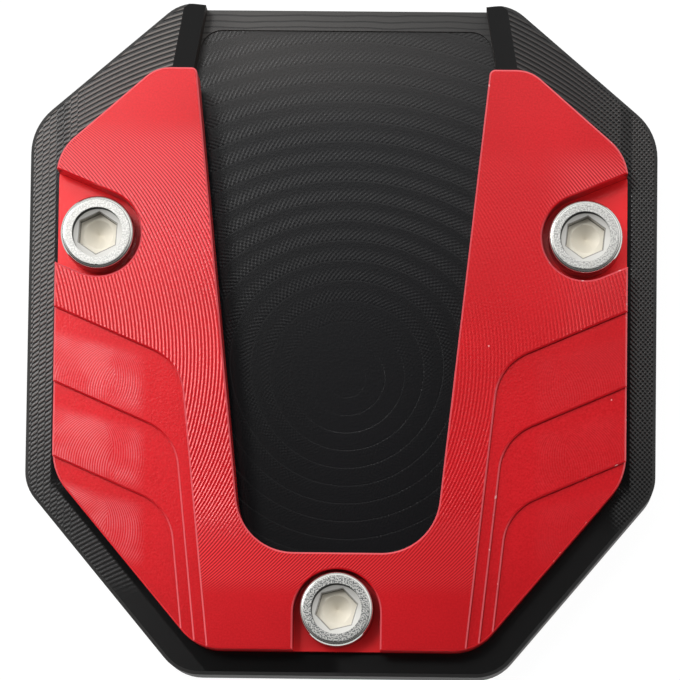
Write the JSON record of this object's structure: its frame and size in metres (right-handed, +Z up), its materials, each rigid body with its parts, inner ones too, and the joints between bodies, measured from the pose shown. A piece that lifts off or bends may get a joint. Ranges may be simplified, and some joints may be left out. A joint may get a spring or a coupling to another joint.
{
  "type": "kickstand foot enlarger",
  "caption": "Octagonal clamp-on foot for a motorbike side stand: a base plate with a foot pocket open at the rear, and a forked clamp plate held down by socket cap screws.",
  "frame": {"origin": "middle of the base plate's underside, on the ground", "axes": "+Z up from the ground, +Y towards the open mouth of the foot pocket, +X to the right when the mouth points away"},
  "size_m": [0.086, 0.0924, 0.0186],
  "materials": {
    "black_anodised": "black anodised over milling marks",
    "red_anodised": "red anodised over milling marks",
    "stainless": "bright stainless steel, turned"
  },
  "bodies": {
    "root": {"base_plate": "black_anodised", "clamp_plate": "red_anodised", "cap_screws": "stainless"}
  },
  "joints": []
}
